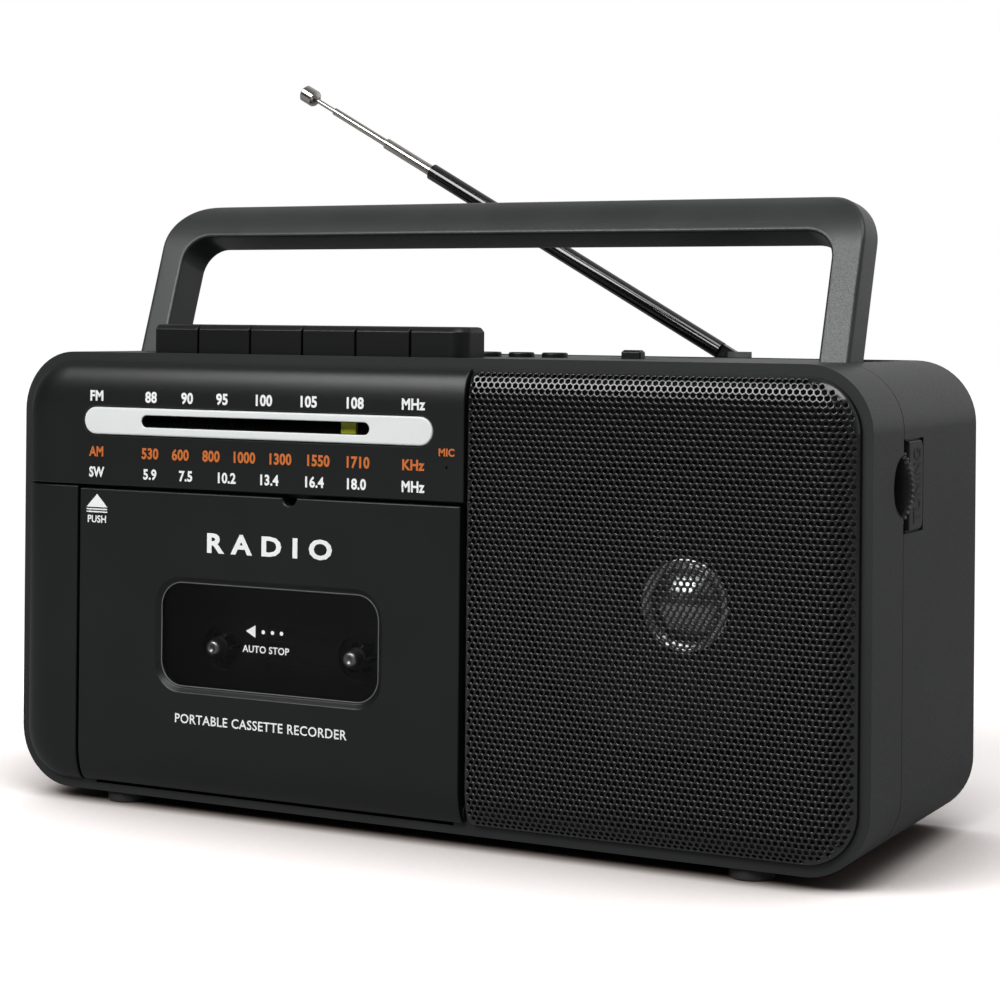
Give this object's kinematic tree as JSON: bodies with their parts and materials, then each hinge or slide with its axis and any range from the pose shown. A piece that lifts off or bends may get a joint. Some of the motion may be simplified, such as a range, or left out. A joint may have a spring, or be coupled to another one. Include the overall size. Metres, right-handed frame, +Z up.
{
  "type": "portable radio cassette recorder",
  "caption": "Portable radio cassette recorder with piano keys, side-mounted thumb wheels, folding handle, perforated speaker grille and telescopic antenna.",
  "frame": {"origin": "on the supporting surface, under the middle of the object's box", "axes": "+X to the right seen from the front, +Y towards the back, +Z up"},
  "size_m": [0.246, 0.0958, 0.2006],
  "materials": {
    "case_plastic": "satin-moulded charcoal plastic, finely textured",
    "panel_plastic": "smooth satin black plastic",
    "silver_trim": "silver paint with a soft gloss",
    "clear_plastic": "smoked clear plastic",
    "pointer_plastic": "yellow-green plastic",
    "grille_metal": "black painted perforated steel",
    "key_plastic": "black plastic with a soft gloss",
    "handle_plastic": "finely textured charcoal plastic",
    "well_plastic": "black moulded plastic",
    "spindle_plastic": "off-white nylon",
    "steel": "zinc-plated steel",
    "brass": "turned brass",
    "belt_rubber": "black rubber",
    "board": "brown resin-bonded paper board",
    "core_steel": "laminated iron and lacquered winding",
    "ferrite": "dark grey ferrite",
    "component_plastic": "pale moulded component plastic",
    "socket_plastic": "black moulded plastic",
    "cone_paper": "black pulp paper with a foam surround",
    "dust_cap_metal": "bright aluminium dome",
    "antenna_black": "gloss black lacquered brass tube",
    "antenna_chrome": "bright chrome"
  },
  "bodies": {
    "case": {"front_shell": "case_plastic", "rear_shell": "case_plastic", "side_trim": "panel_plastic", "dial_panel": "panel_plastic", "dial_window": "silver_trim", "dial_lens": "clear_plastic", "speaker_grille": "grille_metal", "speaker_frame": "steel", "speaker_magnet": "ferrite", "speaker_cone": "cone_paper", "speaker_dust_cap": "dust_cap_metal", "cassette_well": "well_plastic", "deck_chassis": "steel", "motor": "steel", "drive_belt": "belt_rubber", "key_shaft": "steel", "key_springs": "steel", "main_board": "board", "transformer": "core_steel", "ferrite_rod": "ferrite", "tuning_capacitor": "component_plastic", "volume_pot": "component_plastic", "ac_inlet": "socket_plastic", "phone_jack": "socket_plastic", "battery_contacts": "steel", "wheel_plates": "case_plastic", "microphone": "component_plastic", "feet": "belt_rubber", "case_screws": "steel", "hinge_pins": "steel", "switch_board": "board"},
    "cassette_door": {"cassette_door": "panel_plastic", "door_window": "clear_plastic", "cassette_holder": "well_plastic"},
    "handle": {"handle": "handle_plastic"},
    "battery_door": {"battery_door": "case_plastic"},
    "function_knob": {"function_knob": "key_plastic"},
    "band_knob": {"band_knob": "key_plastic"},
    "tuning_wheel": {"tuning_wheel": "key_plastic"},
    "dial_pointer": {"dial_pointer": "pointer_plastic"},
    "volume_wheel": {"volume_wheel": "key_plastic"},
    "supply_spindle": {"supply_spindle": "spindle_plastic"},
    "takeup_spindle": {"takeup_spindle": "spindle_plastic"},
    "capstan_flywheel": {"capstan_flywheel": "brass"},
    "motor_pulley": {"motor_pulley": "brass"},
    "head_bridge": {"head_bridge": "steel"},
    "antenna_swivel": {"antenna_swivel": "antenna_black"},
    "antenna_tube_1": {"antenna_tube_1": "antenna_black"},
    "antenna_tube_2": {"antenna_tube_2": "antenna_chrome"},
    "antenna_tube_3": {"antenna_tube_3": "antenna_chrome"},
    "antenna_rod": {"antenna_rod": "antenna_chrome"},
    "key_pause": {"key_pause": "key_plastic"},
    "key_stop": {"key_stop": "key_plastic"},
    "key_forward": {"key_forward": "key_plastic"},
    "key_rewind": {"key_rewind": "key_plastic"},
    "key_play": {"key_play": "key_plastic"},
    "key_record": {"key_record": "key_plastic"},
    "button_previous": {"button_previous": "key_plastic"},
    "button_play": {"button_play": "key_plastic"},
    "button_next": {"button_next": "key_plastic"}
  },
  "joints": [
    {"name": "door_hinge", "type": "hinge", "parent": "case", "child": "cassette_door", "pos_m": [-0.041, -0.0429, 0.0086], "axis": [1, 0, 0], "range_deg": [0, 35]},
    {"name": "handle_fold", "type": "hinge", "parent": "case", "child": "handle", "pos_m": [0, -0.0117, 0.1166], "axis": [-1, 0, 0], "range_deg": [-19.1, 70.9]},
    {"name": "battery_door_hinge", "type": "hinge", "parent": "case", "child": "battery_door", "pos_m": [0, 0.03905, 0.00925], "axis": [-1, 0, 0], "range_deg": [0, 75]},
    {"name": "key_pause_press", "type": "hinge", "parent": "case", "child": "key_pause", "pos_m": [-0.0423, -0.0019, 0.116], "axis": [1, 0, 0], "range_deg": [0, 6], "stiffness_Nm_per_rad": 2, "springref_deg": -1.72},
    {"name": "key_stop_press", "type": "hinge", "parent": "case", "child": "key_stop", "pos_m": [-0.0423, -0.0019, 0.116], "axis": [1, 0, 0], "range_deg": [0, 6], "stiffness_Nm_per_rad": 2, "springref_deg": -1.72},
    {"name": "key_forward_press", "type": "hinge", "parent": "case", "child": "key_forward", "pos_m": [-0.0423, -0.0019, 0.116], "axis": [1, 0, 0], "range_deg": [0, 6], "stiffness_Nm_per_rad": 2, "springref_deg": -1.72},
    {"name": "key_rewind_press", "type": "hinge", "parent": "case", "child": "key_rewind", "pos_m": [-0.0423, -0.0019, 0.116], "axis": [1, 0, 0], "range_deg": [0, 6], "stiffness_Nm_per_rad": 2, "springref_deg": -1.72},
    {"name": "key_play_press", "type": "hinge", "parent": "case", "child": "key_play", "pos_m": [-0.0423, -0.0019, 0.116], "axis": [1, 0, 0], "range_deg": [0, 6], "stiffness_Nm_per_rad": 2, "springref_deg": -1.72},
    {"name": "key_record_press", "type": "hinge", "parent": "case", "child": "key_record", "pos_m": [-0.0423, -0.0019, 0.116], "axis": [1, 0, 0], "range_deg": [0, 6], "stiffness_Nm_per_rad": 2, "springref_deg": -1.72},
    {"name": "button_previous_press", "type": "slide", "parent": "case", "child": "button_previous", "axis": [0, 0, -1], "range_m": [0, 0.0008], "stiffness_N_per_m": 300, "springref_m": -0.0005},
    {"name": "button_play_press", "type": "slide", "parent": "case", "child": "button_play", "axis": [0, 0, -1], "range_m": [0, 0.0008], "stiffness_N_per_m": 300, "springref_m": -0.0005},
    {"name": "button_next_press", "type": "slide", "parent": "case", "child": "button_next", "axis": [0, 0, -1], "range_m": [0, 0.0008], "stiffness_N_per_m": 300, "springref_m": -0.0005},
    {"name": "function_slide", "type": "slide", "parent": "case", "child": "function_knob", "axis": [1, 0, 0], "range_m": [-0.004, 0.004]},
    {"name": "band_slide", "type": "slide", "parent": "case", "child": "band_knob", "axis": [0, 1, 0], "range_m": [-0.004, 0.004]},
    {"name": "tuning_turn", "type": "hinge", "parent": "case", "child": "tuning_wheel", "pos_m": [0.1075, -0.0179, 0.092], "axis": [0, 1, 0], "range_deg": [-15.48, 224.52]},
    {"name": "pointer_slide", "type": "slide", "parent": "case", "child": "dial_pointer", "axis": [-1, 0, 0], "range_m": [-0.0041, 0.0581]},
    {"name": "volume_turn", "type": "hinge", "parent": "case", "child": "volume_wheel", "pos_m": [-0.1075, -0.0179, 0.092], "axis": [0, 1, 0], "range_deg": [-120, 120]},
    {"name": "flywheel_spin", "type": "hinge", "parent": "case", "child": "capstan_flywheel", "pos_m": [-0.0203, -0.0239, 0.0698], "axis": [0, 1, 0], "continuous": true},
    {"name": "motor_spin", "type": "hinge", "parent": "case", "child": "motor_pulley", "pos_m": [-0.078, -0.0229, 0.0698], "axis": [0, 1, 0], "continuous": true},
    {"name": "takeup_spin", "type": "hinge", "parent": "case", "child": "takeup_spindle", "pos_m": [-0.02105, -0.0279, 0.0426], "axis": [0, 1, 0], "continuous": true},
    {"name": "supply_spin", "type": "hinge", "parent": "case", "child": "supply_spindle", "pos_m": [-0.06355, -0.0279, 0.0426], "axis": [0, 1, 0], "continuous": true},
    {"name": "head_bridge_slide", "type": "slide", "parent": "case", "child": "head_bridge", "axis": [0, 0, -1], "range_m": [0, 0.0072]},
    {"name": "antenna_turn", "type": "hinge", "parent": "case", "child": "antenna_swivel", "pos_m": [0.0538, 0.0441, 0.108], "axis": [0, 0, 1], "range_deg": [-180, 0]},
    {"name": "antenna_lift", "type": "hinge", "parent": "antenna_swivel", "child": "antenna_tube_1", "pos_m": [0.0538, 0.0441, 0.1196], "axis": [0, 1, 0], "range_deg": [-29.3, 60.7]},
    {"name": "antenna_slide_1", "type": "slide", "parent": "antenna_tube_1", "child": "antenna_tube_2", "axis": [-0.8721, 0, 0.4894], "range_m": [-0.017, 0.079]},
    {"name": "antenna_slide_2", "type": "slide", "parent": "antenna_tube_2", "child": "antenna_tube_3", "axis": [-0.8721, 0, 0.4894], "range_m": [-0.02, 0.074]},
    {"name": "antenna_slide_3", "type": "slide", "parent": "antenna_tube_3", "child": "antenna_rod", "axis": [-0.8721, 0, 0.4894], "range_m": [-0.0065, 0.083]}
  ],
  "couplings": [
    {"joint": "pointer_slide", "follows": "tuning_turn", "m_per_rad": 0.014801},
    {"joint": "motor_spin", "follows": "flywheel_spin", "ratio": 4.5},
    {"joint": "takeup_spin", "follows": "flywheel_spin", "ratio": 0.12},
    {"joint": "supply_spin", "follows": "flywheel_spin", "ratio": 0.12},
    {"joint": "head_bridge_slide", "follows": "key_play_press", "m_per_rad": 0.068755}
  ]
}
